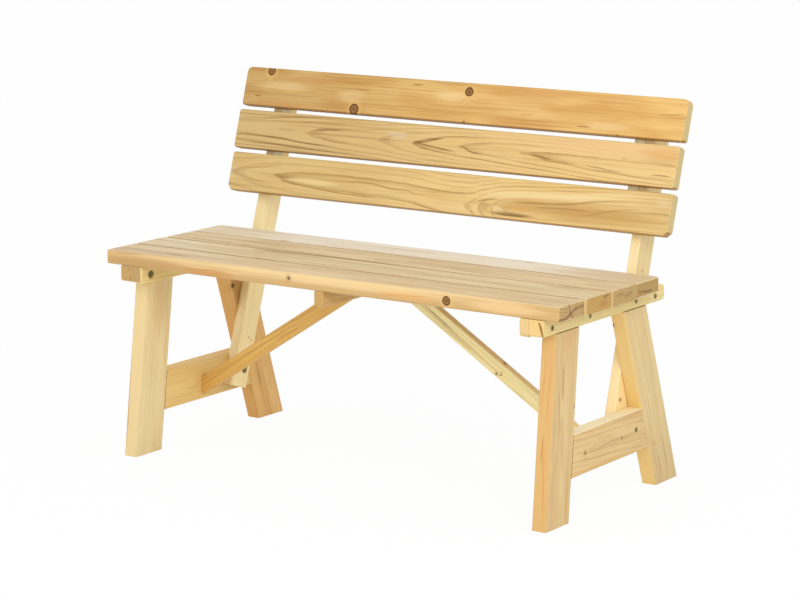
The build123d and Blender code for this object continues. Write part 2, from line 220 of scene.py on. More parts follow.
# ---------------------------------------------------------------- boards
# A board has its own coordinates, in millimetres from its centre: along the grain, across its
# width, and depth towards the face that shows.
ALONG, ACROSS = 0, 1
SPLAY = math.radians(0.92)
RAKE = math.radians(17.2)
FRONT_LEAN = math.radians(6.35)
REAR_LEAN = math.radians(-18.8)
BRACE_SLOPE = {"left": math.atan2(297.3, 467.5), "right": math.atan2(297.3, 483.5)}


def board_axes(name):
    """Unit vectors along the grain, across the width, and in depth."""
    side_name = "left" if name.endswith("left") else "right"
    side = -1 if side_name == "left" else 1

    def upright(lean):
        sideways, up = -side * math.sin(SPLAY), math.cos(SPLAY)
        along = Vector((sideways * math.cos(lean), math.sin(lean), up * math.cos(lean)))
        across = Vector((0.0, math.cos(lean), -math.sin(lean)))
        return along, across, Vector((side * up, 0.0, math.sin(SPLAY)))

    if name.startswith("seat_plank"):
        return Vector((1, 0, 0)), Vector((0, 1, 0)), Vector((0, 0, 1))
    if name.startswith("backrest_slat"):
        up = Vector((0.0, math.sin(RAKE), math.cos(RAKE)))
        return Vector((1, 0, 0)), up, Vector((0.0, -math.cos(RAKE), math.sin(RAKE)))
    if name.startswith("front_leg"):
        return upright(FRONT_LEAN)
    if name.startswith("rear_leg"):
        return upright(REAR_LEAN)
    if name.startswith(("back_post", "back_cleat")):
        return upright(RAKE)
    if name.startswith("brace"):
        slope = BRACE_SLOPE[side_name]
        along = Vector((-side * math.cos(slope), 0.0, math.sin(slope)))
        return along, Vector((side * math.sin(slope), 0.0, math.cos(slope))), Vector((0, -1, 0))
    return Vector((0, 1, 0)), Vector((0, 0, 1)), Vector((side, 0, 0))


# Among the constants below, a pair holds the thresholds of a smooth step from 0 to 1, and a group
# of four the thresholds and the values at them.

# Noises: length of a grain in millimetres in the board's three directions, detail, roughness.
BENDS = ((260.0, 48.0, 48.0), 2.0, 0.5)
WAVES = ((46.0, 9.0, 9.0), 1.0, 0.5)
STREAKS = ((300.0, 6.0, 6.0), 3.0, 0.55)
FIBRES = ((60.0, 1.1, 1.1), 2.0, 0.6)
BLOTCHES = ((190.0, 34.0, 34.0), 2.0, 0.5)
NOISE_MIDDLE = 0.5
SEED_SHIFT = (913.0, 37.0, 53.0)     # in the noises, from one seed to the next

# How far a face has to look along an axis to count.
FACING = (0.4, 0.8)
END_FACING = (0.5, 0.9)
END_GRAIN = (0.75, 0.95)


class Board:
    """What the figure of a board is made of: its coordinates, its faces and its noises."""

    def __init__(self, tree, name, seed, box):
        low, high = box
        centre = (Vector(low) + Vector(high)) / 2
        place = tree.nodes.new("ShaderNodeTexCoord")
        local = Field(tree, place.outputs["Object"]).vector("SUBTRACT", tuple(centre))
        self.seed = seed
        self.normal = Field(tree, place.outputs["Normal"])
        self.axes = board_axes(name)
        self.u, self.v, self.w = [local.vector("DOT_PRODUCT", tuple(axis / MM)) for axis in self.axes]
        spot = joined(*[
            way + shift * seed for way, shift in zip((self.u, self.v, self.w), SEED_SHIFT)])
        self.bend_v, self.bend_w, self.bend_u = spot.noise(*BENDS)
        self.wave_v, self.wave_w, _ = spot.noise(*WAVES)
        self.streak, self.dark_streak, self.light_streak = spot.noise(*STREAKS)
        self.fibre, self.fine_fibre, _ = spot.noise(*FIBRES)
        self.warm_spot, _, self.grey_spot = spot.noise(*BLOTCHES)
        ends = self.normal.vector("DOT_PRODUCT", tuple(self.axes[ALONG])).math("ABSOLUTE")
        self.end_grain = ends.step(*END_GRAIN)
        self.long_grain = self.end_grain * -1.0 + 1.0

    def facing(self, axis, side, thresholds=FACING):
        """1 on the faces that look along an axis, or against it where side is -1."""
        return self.normal.vector("DOT_PRODUCT", tuple(self.axes[axis] * side)).step(*thresholds)


# Growth rings. A ring runs from 0 on its inner side to 1 on its outer side.
RING_WAVE = 1.6                      # mm
FIRST_RING = 40.0                    # keeps the rings' numbers above 0
LATEWOOD_RISE = (0.42, 0.93)
LATEWOOD_FALL = (0.93, 1.0, 1.0, 0.0)
LEAST_DARKNESS, DARKNESS_BY_CHANCE = 0.25, 0.75
LINE_IN_STREAKS = (0.25, 0.7, 0.45, 1.0)


def growth_rings(board, look, knots):
    """Place within a ring, and the strength of the dark line at its outer side."""
    wander = look["wander"]
    pith_across, pith_depth = look["pith"]
    if isinstance(pith_across, list):
        pith_across = board.u.curve(pith_across)
    if isinstance(pith_depth, list):
        pith_depth = board.u.curve(pith_depth)
    else:
        pith_depth = board.u * look["taper"] + pith_depth

    def off_pith(straight, bend, wave):
        return straight + (bend - NOISE_MIDDLE) * wander + (wave - NOISE_MIDDLE) * RING_WAVE

    radius = length(
        off_pith(board.v - pith_across, board.bend_v, board.wave_v),
        off_pith(pith_depth - board.w, board.bend_w, board.wave_w))
    for distance, here, knot in knots:
        size = knot["radius"]
        radius = radius + distance.step(0.0, size * KNOT_REACH, size * KNOT_PUSH, 0.0) * here
    phase = radius / look["spacing"] + (board.bend_u - NOISE_MIDDLE) * look["uneven"] + FIRST_RING
    ring = phase.math("FLOOR")
    part = phase - ring
    dark = ring.chance(board.seed) * DARKNESS_BY_CHANCE + LEAST_DARKNESS
    line = part.step(*LATEWOOD_RISE) * part.step(*LATEWOOD_FALL)
    line = line * line * dark * board.streak.step(*LINE_IN_STREAKS) * look["lines"]
    return part, line


# Ground colour.
WARM_SPOTS = (0.35, 0.68)
DARK_STREAKS = (0.52, 0.72)
LIGHT_STREAKS = (0.55, 0.75)
GREY_SPOTS = (0.58, 0.78)
GREY_SHARE = 0.15
GREYED = tone(196, 172, 136)
LEAST_TINT, COARSE_FIBRES, FINE_FIBRES = 0.81, 0.24, 0.14
END_LINES, END_RINGS, END_FIBRES = 0.5, 0.3, 0.25
END_RING_RISE = (0.2, 0.9)


def ground_colour(board, look, part, line):
    colour = blend(board.warm_spot.step(*WARM_SPOTS) * look["warmth"], look["pale"], look["warm"])
    colour = blend(board.dark_streak.step(*DARK_STREAKS) * look["streaks"], colour, look["late"])
    colour = blend(
        board.light_streak.step(*LIGHT_STREAKS) * look["light_streaks"], colour, look["light"])
    colour = blend(line, colour, look["late"])
    tint = board.fibre * COARSE_FIBRES + board.fine_fibre * FINE_FIBRES + LEAST_TINT
    # Painted light and shade: the look's ramp brightens or darkens the board along its length.
    if look["fade"]:
        tint = tint * board.u.curve(look["fade"])
    colour = dimmed(colour, tint)
    # One face gets its own tone: painted light and shade on several boards.
    if look["edge"]:
        side, share, shade = look["edge"]
        colour = blend(board.facing(ACROSS, side) * share, colour, shade)
    colour = blend(board.grey_spot.step(*GREY_SPOTS) * GREY_SHARE, colour, GREYED)
    end_rings = line * END_LINES + part.step(*END_RING_RISE) * END_RINGS + board.fibre * END_FIBRES
    return blend(board.end_grain, colour, blend(end_rings, look["end"], look["end_late"]))


# Faces that marks and knots are on.
BROAD, EDGE, END = "broad face", "edge", "end"
FACE, BACK = (BROAD, 1), (BROAD, -1)
UPPER, FRONT = (EDGE, 1), (EDGE, -1)
FAR_END, NEAR_END = (END, 1), (END, -1)

# Marks.
MARK_DEPTHS = (-6.0, 2.0)            # mm from mid-board, over which marks on a broad face appear
LINE_EASE = 0.35                     # share of a line over which each end fades in
LINE_WAVE = 1.2                      # mm
MARK_IN_STREAKS = (0.2, 0.6, 0.6, 1.0)
PATCH_EDGE = (0.3, 1.05, 1.0, 0.0)   # thresholds in shares of its reach
PATCH_WARP, PATCH_FRAY = 0.9, 0.7    # shares of its reach that blotches and streaks move it
CHECK_WAVE = 1.5                     # mm
CHECK_DEPTH = 1.2                    # in units of the bump


def on_face(board, face):
    """Two coordinates on a face, and 1 where that face is."""
    kind, side = face
    if kind == END:
        return board.v, board.w, board.facing(ALONG, side, END_FACING)
    if kind == EDGE:
        return board.u, board.w, board.facing(ACROSS, side)
    return board.u, board.v, (board.w * side).step(*MARK_DEPTHS) * board.long_grain


def mark_share(board, mark, x, y):
    if mark["shape"] == "line":
        points = mark["points"]
        start, end = points[0][0], points[-1][0]
        ease = LINE_EASE * (end - start)
        gap = y - x.curve(points) + (board.wave_v - NOISE_MIDDLE) * LINE_WAVE
        share = near(gap.math("ABSOLUTE"), mark["width"])
        share = share * x.step(start, start + ease) * x.step(end - ease, end, 1.0, 0.0)
        return share * board.streak.step(*MARK_IN_STREAKS)
    if mark["shape"] == "patch":
        away = length(
            (x - mark["at"][0]) / mark["reach"][0], (y - mark["at"][1]) / mark["reach"][1])
        away = away + (board.warm_spot - NOISE_MIDDLE) * PATCH_WARP
        away = away + (board.streak - NOISE_MIDDLE) * PATCH_FRAY
        return away.step(*PATCH_EDGE)
    wavy = x + (board.wave_w - NOISE_MIDDLE) * CHECK_WAVE
    return near(segment(wavy, y, mark["start"], mark["end"]), mark["width"])


def draw_mark(board, mark, colour, height):
    x, y, front = on_face(board, mark["face"])
    share = mark_share(board, mark, x, y)
    if mark["shape"] == "check":
        height = height - share * front * mark["strength"] * CHECK_DEPTH
    return blend(share * front * mark["strength"], colour, mark["tone"]), height


# Knots. Lengths and thresholds in shares of a knot's radius.
KNOT_REACH = 3.4
KNOT_PUSH = 1.4
KNOT_DEPTHS = (-8.0, 0.0)            # mm from mid-board, over which those on a broad face appear
KNOT_WAVE = 0.35
KNOT_HALO_EDGE = (1.0, 2.3, 0.55, 0.0)
KNOT_CORE_EDGE = (0.9, 1.06, 1.0, 0.0)
KNOT_RIM = 0.9
KNOT_RIM_EDGE = (0.08, 0.26, 0.92, 0.0)
KNOT_RIM_DEPTH = 1.5
SWIRL_TURNS = 7.5                    # radians from the middle to the rim
SWIRL_MEAN, SWIRL_SWING = 0.35, 0.3
PIN_HALO_EDGE = (0.5, 2.4, 0.35, 0.0)
PIN_EDGE = (0.3, 1.0, 0.9, 0.0)
KNOT_EDGE = tone(92, 58, 22)
KNOT_CORE = tone(160, 114, 58)
KNOT_HALO = tone(226, 180, 106)


def place_knot(board, knot):
    """Distance from the middle of a knot, 1 where its face is, and the knot."""
    kind, side = knot["face"]
    if kind == BROAD:
        across, here = board.v, (board.w * side).step(*KNOT_DEPTHS)
    else:
        across, here = board.w, board.facing(ACROSS, side)
    distance = length(board.u - knot["at"][0], across - knot["at"][1])
    distance = distance + (board.wave_w - NOISE_MIDDLE) * (KNOT_WAVE * knot["radius"])
    return distance, here, knot


def draw_knot(distance, here, knot, look, colour, height):
    size = knot["radius"]

    def spot(away, edge):
        low, high, inner, outer = edge
        return away.step(size * low, size * high, inner, outer) * here

    if knot["pin"]:
        colour = blend(spot(distance, PIN_HALO_EDGE), colour, look["late"])
        dot = spot(distance, PIN_EDGE)
        return blend(dot, colour, KNOT_EDGE), height - dot
    colour = blend(spot(distance, KNOT_HALO_EDGE), colour, knot["halo"])
    swirl = (distance * (SWIRL_TURNS / size)).math("SINE") * SWIRL_SWING + SWIRL_MEAN
    colour = blend(spot(distance, KNOT_CORE_EDGE), colour, blend(swirl, KNOT_CORE, KNOT_EDGE))
    rim = spot((distance - size * KNOT_RIM).math("ABSOLUTE"), KNOT_RIM_EDGE)
    return blend(rim, colour, KNOT_EDGE), height - rim * KNOT_RIM_DEPTH


# Surface of planed timber.
LINE_SINK, FIBRE_RISE = -0.5, 0.5    # in units of the bump
ROUGHNESS = 0.43
FIBRE_ROUGHNESS = 0.14
LINE_GLOSS = 0.08
BUMP_STRENGTH = 0.35
BUMP_UNIT = 0.5 * MM


def timber(name, look, box):
    """Softwood: growth rings round a pith line that runs beside or in the board, fibres, blotches,
    and the marks and knots listed for the board."""
    material, tree, shader = new_material(name)
    board = Board(tree, name, look["seed"], box)
    knots = [place_knot(board, knot) for knot in look["knots"]]
    part, line = growth_rings(board, look, knots)
    colour = ground_colour(board, look, part, line)
    height = line * LINE_SINK + board.fibre * FIBRE_RISE
    for mark in look["marks"]:
        colour, height = draw_mark(board, mark, colour, height)
    for distance, here, knot in knots:
        colour, height = draw_knot(distance, here, knot, look, colour, height)
    rough = board.fibre * FIBRE_ROUGHNESS + ROUGHNESS - line * LINE_GLOSS
    bump = tree.nodes.new("ShaderNodeBump")
    bump.inputs["Strength"].default_value = BUMP_STRENGTH
    bump.inputs["Distance"].default_value = BUMP_UNIT
    plug(tree, bump.inputs["Height"], height)
    plug(tree, shader.inputs["Base Color"], colour)
    plug(tree, shader.inputs["Roughness"], rough)
    tree.links.new(bump.outputs["Normal"], shader.inputs["Normal"])
    return material


# ---------------------------------------------------------------- looks of the boards
# Marks and knots are placed on a face in its own millimetres: (along, across) on a broad face,
# (along, depth) on an edge, (across, depth) on an end.
DARK = tone(134, 92, 44)
BROWN = tone(172, 122, 64)
ORANGE = tone(216, 160, 86)
PALE = tone(240, 214, 160)
GREY = tone(172, 150, 118)
CRACK = tone(126, 92, 58)
# Painted shade on the front faces of the rear three seat planks, down in the gaps between them.
PLANK_GAP_SHADE = tone(158, 118, 66)
# Painted shade on the lower edge of each back slat.
SLAT_UNDERSIDE_SHADE = tone(156, 110, 58)


def line(points, width, strength, shade=BROWN, face=FACE):
    """Dark or pale line through the points: mostly lines of the grain, on a few boards a painted
    highlight or shadow.
    """
    return {
        "shape": "line", "points": points, "width": width, "strength": strength, "tone": shade,
        "face": face}


def patch(at, reach, strength, shade, face=FACE):
    """Soft-edged patch of colour round a point: mostly stains, on a few faces painted light."""
    return {
        "shape": "patch", "at": at, "reach": reach, "strength": strength, "tone": shade,
        "face": face}


def check(start, end, width, strength=0.8, shade=CRACK, face=FAR_END):
    """Straight drying crack, a little sunk."""
    return {
        "shape": "check", "start": start, "end": end, "width": width, "strength": strength,
        "tone": shade, "face": face}


def knot(at, radius, face=FACE, halo=KNOT_HALO):
    return {"at": at, "radius": radius, "face": face, "halo": halo, "pin": False}


def pin(at, radius, face=FACE):
    """Small dark knot."""
    return {"at": at, "radius": radius, "face": face, "pin": True}


def fir(seed, **changes):
    """The usual look of a board, and what is different on this one."""
    usual = {
        "pale": tone(228, 194, 138), "warm": tone(218, 172, 106), "late": tone(176, 124, 62),
        "light": tone(240, 216, 168), "end": tone(200, 168, 116), "end_late": tone(150, 112, 66),
        "pith": (10.0, -70.0),       # across and in depth, each fixed or (along, place) pairs
        "taper": 0.01,               # slope of a fixed pith in depth
        "spacing": 6.0,              # mm from ring to ring
        "wander": 5.0,               # mm that the rings bend
        "uneven": 0.8,               # rings that the spacing varies by
        "lines": 0.6, "warmth": 0.6, "streaks": 0.35, "light_streaks": 0.3,
        "fade": None,                # (along, brightness) pairs: painted light and shade along the board
        "edge": None,                # side, share and tone of the one edge that shows; painted light and shade on the slats, rear seat planks, back posts, back cleats and right stretcher
        "knots": [], "marks": []}
    return {**usual, "seed": seed, **changes}


LOOKS = {
    "backrest_slat_top": fir(
        1, pale=tone(224, 184, 114), warm=tone(206, 156, 84), late=tone(170, 116, 54),
        light=tone(232, 200, 130), end=tone(214, 194, 138), end_late=tone(188, 160, 106),
        pith=(120.0, -30.0), taper=0.004, spacing=7.0, wander=9.0, lines=0.42, warmth=0.9,
        streaks=0.5, light_streaks=0.45,
        # Painted shade towards the left end, painted light towards the right end.
        fade=[(-560, 0.77), (-300, 0.84), (0, 1.0), (300, 1.04), (560, 1.08)],
        edge=(-1, 0.75, SLAT_UNDERSIDE_SHADE),
        knots=[
            knot((-482, 36), 10.0), knot((-247, -33), 11.5), knot((36.5, 23.5), 9.5),
            pin((35, -41), 3.5), pin((402, -43), 3.0)],
        marks=[
            patch((-430, 5), (90, 11), 0.35, PALE), patch((-262, -6), (46, 18), 0.35, PALE),
            patch((5, 10), (60, 14), 0.4, PALE), patch((380, -25), (70, 10), 0.35, PALE),
            patch((-350, 22), (130, 9), 0.5, tone(198, 140, 76)),
            patch((-440, -35), (90, 7), 0.5, tone(196, 142, 78)),
            patch((250, 33), (240, 8), 0.45, tone(208, 152, 92)),
            patch((160, -32), (120, 7), 0.4, tone(204, 148, 84)),
            line([(-112, 29.5), (-95, 30), (-78, 30)], 1.8, 0.9, DARK),
            line([(302, -30), (320, -29.5), (340, -29)], 1.8, 0.9, DARK),
            line([(-520, -21), (-508, -20.5), (-498, -20)], 2.6, 0.7, DARK),
            line([(-255, 10), (-230, 9.5), (-205, 10.5)], 2.6, 0.6),
            line([(480, 5.5), (515, 8.5), (549, 11)], 2.0, 0.7),
            line([(165, -15), (185, -14), (205, -12)], 1.6, 0.5)]),
    "backrest_slat_middle": fir(
        2, pale=tone(224, 192, 130), warm=tone(216, 176, 108), late=tone(140, 98, 46),
        end=tone(214, 194, 138), end_late=tone(188, 160, 106),
        pith=(
            [(-600, 4), (-360, 3), (-75, 2), (30, 3), (220, -1), (420, -10), (600, -14)],
            [
                (-600, 69.8), (-450, 69.0), (-362, 67.15), (-260, 64.4), (-168, 62.15),
                (-75, 57.15), (-20, 54.6), (35, 52.15), (120, 49.4), (205, 47.15), (400, 44.0),
                (600, 42.7)]),
        spacing=5.0, wander=0.8, uneven=0.05, lines=1.0, warmth=0.4,
        # Painted shade towards the left end, painted light towards the right end.
        fade=[(-560, 0.84), (-200, 0.92), (100, 1.02), (560, 1.08)],
        edge=(-1, 0.75, SLAT_UNDERSIDE_SHADE),
        marks=[
            line([(-80, 3), (-50, 7), (-25, 13), (2, 20)], 3.4, 0.9, DARK),
            line([(-80, 3), (-45, -1), (0, -6), (40, -10.5)], 2.6, 0.95, DARK),
            patch((-66, 3.5), (15, 3.2), 0.9, DARK),
            line([(-350, 5), (-325, 10), (-285, 13.5), (-255, 12)], 2.0, 0.8, DARK),
            line([(-345, 2), (-320, -5), (-295, -10), (-230, -11)], 2.0, 0.5),
            line([(-548, -12), (-430, -14), (-380, -19), (-250, -24)], 2.6, 0.75, DARK),
            line([(-548, -29), (-440, -29), (-380, -32), (-250, -35)], 2.6, 0.75, DARK),
            line([(-548, 24), (-480, 27), (-400, 33), (-300, 38)], 2.2, 0.6, DARK),
            line([(-160, 2), (-148, 4), (-135, 2)], 2.2, 0.6),
            line([(30, 6), (45, 3), (70, -7), (100, -9.5)], 2.4, 0.8, DARK),
            line([(204, 0), (230, -2), (255, -6.5), (268, -7)], 2.4, 0.9, DARK),
            line([(330, -11), (365, -14), (415, -19), (440, -19)], 2.4, 0.7, tone(140, 108, 66)),
            line([(488, -19), (515, -19), (548, -20.5)], 2.2, 0.8, tone(130, 102, 60)),
            patch((-120, 15), (38, 9), 0.65, tone(216, 196, 162)),
            patch((-412, 5), (30, 3.5), 0.5, tone(170, 146, 98)),
            patch((390, 24), (250, 19), 0.8, tone(232, 192, 136)),
            patch((520, 24), (70, 14), 0.5, ORANGE),
            patch((150, 27), (120, 12), 0.55, tone(230, 194, 134)),
            patch((430, 8), (8, 4), 0.4, tone(190, 150, 96))]),
    "backrest_slat_bottom": fir(
        3, pale=tone(226, 196, 132), warm=tone(216, 176, 108), late=tone(150, 112, 56),
        end=tone(214, 194, 138), end_late=tone(188, 160, 106),
        pith=(
            [(-600, 0), (-425, -3), (-100, -8), (100, -24), (200, -22), (400, -12), (600, -8)],
            [
                (-600, 77.0), (-538, 75.0), (-428, 68.0), (-300, 65.6), (0, 63.4), (75, 61.0),
                (105, 54.0), (135, 47.0), (165, 40.0), (260, 34.0), (400, 31.5), (600, 30.0)]),
        spacing=7.0, wander=1.6, uneven=0.08, lines=0.9, warmth=0.5,
        # Painted shade towards both ends, most at the left end.
        fade=[(-560, 0.88), (-200, 0.96), (100, 1.04), (560, 0.96)],
        edge=(-1, 0.75, SLAT_UNDERSIDE_SHADE),
        marks=[
            patch((-330, -7), (110, 7), 0.8, tone(232, 204, 146)),
            line(
                [(20, -12), (120, 3), (300, 14), (420, 25), (549, 36)], 11.0, 0.75,
                tone(240, 214, 158)),
            patch((350, -15), (240, 26), 0.8, tone(196, 154, 90)),
            patch((205, -20), (34, 7), 0.45, ORANGE), patch((330, -21), (30, 6), 0.45, ORANGE),
            patch((120, -24), (14, 14), 0.36, tone(164, 128, 76)),
            patch((190, -32), (80, 6), 0.75, tone(140, 104, 56)),
            line([(86, -24), (96, -14), (120, -7), (160, -3)], 3.0, 0.6, tone(150, 116, 62)),
            line([(220, -14), (270, -11), (330, -9), (380, -14)], 2.4, 0.6, tone(150, 112, 58)),
            line([(330, -27), (380, -14), (430, -2), (500, 6)], 2.6, 0.45, tone(158, 118, 62)),
            line(
                [(128, -22), (150, -12), (210, -5), (300, -1), (380, 11), (460, 18)], 3.0, 0.75,
                tone(160, 122, 66)),
            line([(130, -26), (150, -33), (200, -34), (240, -31)], 3.0, 0.8, tone(138, 100, 54)),
            patch((148, -22), (12, 6), 0.75, tone(226, 200, 150)),
            line(
                [
                    (-340, 3), (-300, 0), (-250, 0), (-180, 2), (-110, -5), (-80, -5), (-52, -11),
                    (0, -13)],
                2.4, 0.8),
            line([(-545, 1), (-500, 9), (-450, 16), (-390, 26)], 2.2, 0.6),
            line([(-545, 0), (-520, -7), (-480, -15), (-430, -21)], 2.2, 0.6),
            line([(-425, -8), (-380, -14), (-300, -22), (-200, -27), (-90, -29)], 2.4, 0.75),
            patch((-532, 0), (8, 4), 0.5, GREY),
            patch((530, 22), (22, 10), 0.5, tone(226, 196, 156))]),
    "seat_plank_front": fir(
        4, pale=tone(228, 206, 166), warm=tone(218, 188, 142), late=tone(172, 134, 86),
        light=tone(236, 212, 176), end=tone(200, 168, 110), pith=(-20.0, 60.0), lines=0.9,
        streaks=0.85, light_streaks=0.5, edge=(-1, 0.9, tone(207, 168, 108)),
        knots=[pin((-76, 4), 5.4, FRONT), knot((299.5, 0), 8.6, FRONT, halo=tone(232, 190, 120))],
        marks=[
            patch((0, -42), (620, 9), 0.8, tone(240, 208, 152)),
            patch((-440, -4), (150, 13), 0.75, tone(192, 150, 96), FRONT),
            patch((-280, -7), (100, 8), 0.8, tone(204, 148, 84), FRONT),
            patch((-130, -4), (110, 9), 0.5, tone(212, 172, 116), FRONT),
            patch((210, -1), (95, 7), 0.6, tone(230, 176, 104), FRONT),
            patch((430, 0), (110, 14), 0.6, tone(242, 204, 150), FRONT),
            # Painted highlight along the rounded top arris of the front face.
            line(
                [(-549, 10), (-400, 11), (-150, 10), (100, 10), (290, 11)], 5.0, 0.6,
                tone(240, 210, 150), FRONT),
            line([(-540, 9), (-500, 11), (-440, 14)], 1.5, 0.6, BROWN, FRONT),
            line(
                [(-365, -3), (-340, -4), (-250, 0), (-215, -4)], 2.0, 0.6, tone(186, 130, 66),
                FRONT),
            line([(120, -5), (160, -3), (220, 0), (272, 5)], 1.6, 0.6, tone(204, 148, 84), FRONT),
            line([(420, -9), (470, -8), (540, -4)], 1.6, 0.5, tone(214, 160, 100), FRONT),
            check((-48, -11), (-20, -11), 4.0), check((-20, -11), (-5, -4), 4.0),
            check((-5, -4), (14, 3), 4.0), check((14, 3), (46, 5), 4.5, 0.6),
            check((-10, 16), (-5, -4), 3.0, 0.7), check((-5, -4), (5, -12), 3.5, 0.7)]),
    "seat_plank_second": fir(
        5, pale=tone(230, 212, 172), warm=tone(220, 196, 148), late=tone(168, 134, 86),
        light=tone(240, 220, 184), end=tone(204, 166, 96), end_late=tone(160, 116, 56),
        pith=(30.0, -60.0), lines=1.0, streaks=0.85, light_streaks=0.5, edge=(-1, 0.9, PLANK_GAP_SHADE),
        marks=[
            patch((0, 4), (480, 15), 0.4, tone(210, 184, 140)),
            # Painted light on the front face near the end, seen through the gap.
            patch((548, 0), (26, 30), 1.0, PALE, FRONT),
            patch((-268, 10), (20, 6), 0.55, tone(184, 148, 98)),
            patch((15, -2), (19, 9), 0.7, tone(176, 126, 60), FAR_END),
            check((20, 9), (32, 12), 5.0, 0.6)]),
    "seat_plank_third": fir(
        6, pale=tone(230, 208, 166), warm=tone(220, 190, 140), late=tone(168, 132, 84),
        light=tone(240, 218, 184), end=tone(200, 170, 108), pith=(-10.0, -80.0), lines=1.0,
        streaks=0.85, light_streaks=0.5, edge=(-1, 0.9, PLANK_GAP_SHADE),
        marks=[
            patch((-300, 10), (220, 16), 0.4, tone(212, 184, 148)),
            patch((300, 14), (220, 12), 0.45, tone(204, 176, 134)),
            # Painted light on the front face near the end, seen through the gap.
            patch((548, 0), (26, 30), 1.0, PALE, FRONT),
            patch((-345, -36), (22, 7), 0.7, tone(170, 130, 82)),
            check((-30, 5), (-8, 6), 4.0, 0.4), check((2, -2), (26, 4), 5.0, 0.4)]),
    "seat_plank_rear": fir(
        7, pale=tone(244, 234, 212), warm=tone(234, 218, 188), late=tone(190, 162, 118),
        light=tone(246, 238, 222), end=tone(190, 158, 96), end_late=tone(150, 112, 56),
        pith=(10.0, 50.0), lines=0.85, streaks=0.75, light_streaks=0.5, edge=(-1, 0.9, PLANK_GAP_SHADE),
        marks=[
            patch((0, 6), (480, 12), 0.3, tone(222, 206, 184)),
            patch((500, 0), (190, 90), 0.8, tone(212, 184, 136)),
            patch((-490, 0), (130, 90), 0.6, tone(220, 196, 152)),
            patch((256, 34), (16, 5), 0.6, tone(190, 152, 104)),
            patch((384, 18), (18, 6), 0.6, tone(186, 148, 98)),
            patch((-310, -40), (18, 6), 0.6, tone(180, 142, 94)),
            check((-38, -3), (-12, -6), 4.0, 0.6), check((-12, -6), (12, -7), 4.0, 0.7),
            patch((-38, -8), (16, 10), 0.5, tone(184, 130, 64), FAR_END)]),
    "back_post_left": fir(
        8, pale=tone(248, 230, 176), warm=tone(244, 218, 156), late=tone(218, 184, 120),
        pith=(-80.0, 60.0), spacing=4.0, lines=0.3, warmth=0.3,
        # Painted light: brighter towards the lower end, which is in shade under the seat; the front
        # face gets its own tone for the light on it.
        fade=[(-350, 1.2), (-60, 1.16), (0, 1.05), (350, 1.05)],
        edge=(-1, 0.8, tone(236, 214, 164)),
        knots=[pin((-236, 14), 2.2, BACK), pin((-232, 4), 2.2, BACK)]),
    "back_post_right": fir(
        9, pale=tone(242, 218, 162), warm=tone(236, 204, 140), late=tone(208, 170, 106),
        pith=(70.0, 50.0), spacing=4.0, lines=0.35, warmth=0.4,
        # Painted light: brighter towards the lower end, which is in shade under the seat, and on the
        # front face, in shade behind the slats.
        fade=[(-350, 1.12), (-60, 1.1), (0, 0.94), (350, 0.94)],
        edge=(-1, 0.8, tone(255, 232, 180)),
        knots=[pin((-248, -13), 4.5), pin((12, -2), 2.5)],
        marks=[line([(-262, 20), (-240, 10), (-200, -14), (-190, -20)], 3.0, 0.6, ORANGE)]),
    "front_leg_left": fir(
        10, pale=tone(242, 222, 170), warm=tone(234, 206, 150), late=tone(210, 176, 120),
        light=tone(248, 232, 184), pith=(40.0, -60.0), spacing=5.0, lines=0.35, warmth=0.5,
        edge=(-1, 0.85, tone(230, 204, 148)),
        marks=[
            # Painted shade along the outer arris of the front face.
            line([(-195, 13), (-60, 14), (60, 15.5)], 4.0, 0.75, tone(196, 146, 90), FRONT),
            patch((130, 0), (80, 30), 0.4, tone(222, 182, 124), BACK)]),
    "front_leg_right": fir(
        11, pale=tone(224, 196, 142), warm=tone(212, 176, 120), late=tone(180, 142, 88),
        light=tone(234, 212, 160), pith=(-10.0, 90.0), spacing=5.0, lines=0.45, warmth=0.6,
        edge=(-1, 0.85, tone(222, 176, 108)),
        knots=[pin((42, 41), 5.0)],
        marks=[
            line([(45, -6), (80, -8), (110, -9), (140, -8)], 6.0, 0.65, tone(176, 140, 92)),
            line([(-30, -13), (10, -16), (60, -20), (95, -24)], 2.6, 0.75, tone(176, 134, 84)),
            patch((-120, 26), (80, 8), 0.6, tone(204, 166, 102)),
            patch((-110, 6), (50, 8), 0.5, tone(232, 210, 156)),
            patch((172, 6), (34, 22), 0.5, tone(216, 170, 116)),
            line([(-190, 6), (-120, 5), (-50, 1), (0, -2)], 3.4, 0.75, tone(216, 158, 86), FRONT),
            line([(-70, -3), (-30, -2), (0, 0)], 2.0, 0.7, tone(190, 130, 66), FRONT),
            line([(0, 6), (30, 5), (90, 7), (160, 8)], 2.2, 0.7, tone(214, 154, 86), FRONT),
            line([(10, -7), (60, -8), (110, -5), (165, -6)], 3.0, 0.75, tone(216, 156, 88), FRONT)]),
    # Pale ground tones: painted light, offsetting the shade this board sits in.
    "rear_leg_left": fir(
        12, pale=tone(246, 202, 132), warm=tone(234, 180, 106), late=tone(184, 132, 68),
        light=tone(250, 216, 146), pith=(20.0, -60.0), spacing=5.0, lines=0.55, warmth=0.7,
        edge=(-1, 0.8, tone(212, 162, 92)),
        knots=[pin((146, -29), 8.0, BACK)],
        marks=[
            patch((-90, -11), (50, 6), 0.6, tone(176, 142, 96), BACK),
            patch((-148, -10), (9, 4), 0.7, tone(226, 188, 130), BACK),
            patch((130, -14), (60, 22), 0.6, tone(160, 116, 60), BACK)]),
    "rear_leg_right": fir(
        13, pale=tone(226, 202, 148), warm=tone(216, 184, 128), late=tone(190, 154, 102),
        light=tone(236, 212, 160), pith=(20.0, -60.0), spacing=5.0, lines=0.4, warmth=0.5,
        edge=(-1, 0.8, tone(240, 204, 130)),
        knots=[pin((181, -15), 5.0, FRONT)],
        marks=[
            line([(-195, 11), (-150, 12), (-100, 11), (-80, 13)], 4.0, 0.65, tone(188, 154, 106)),
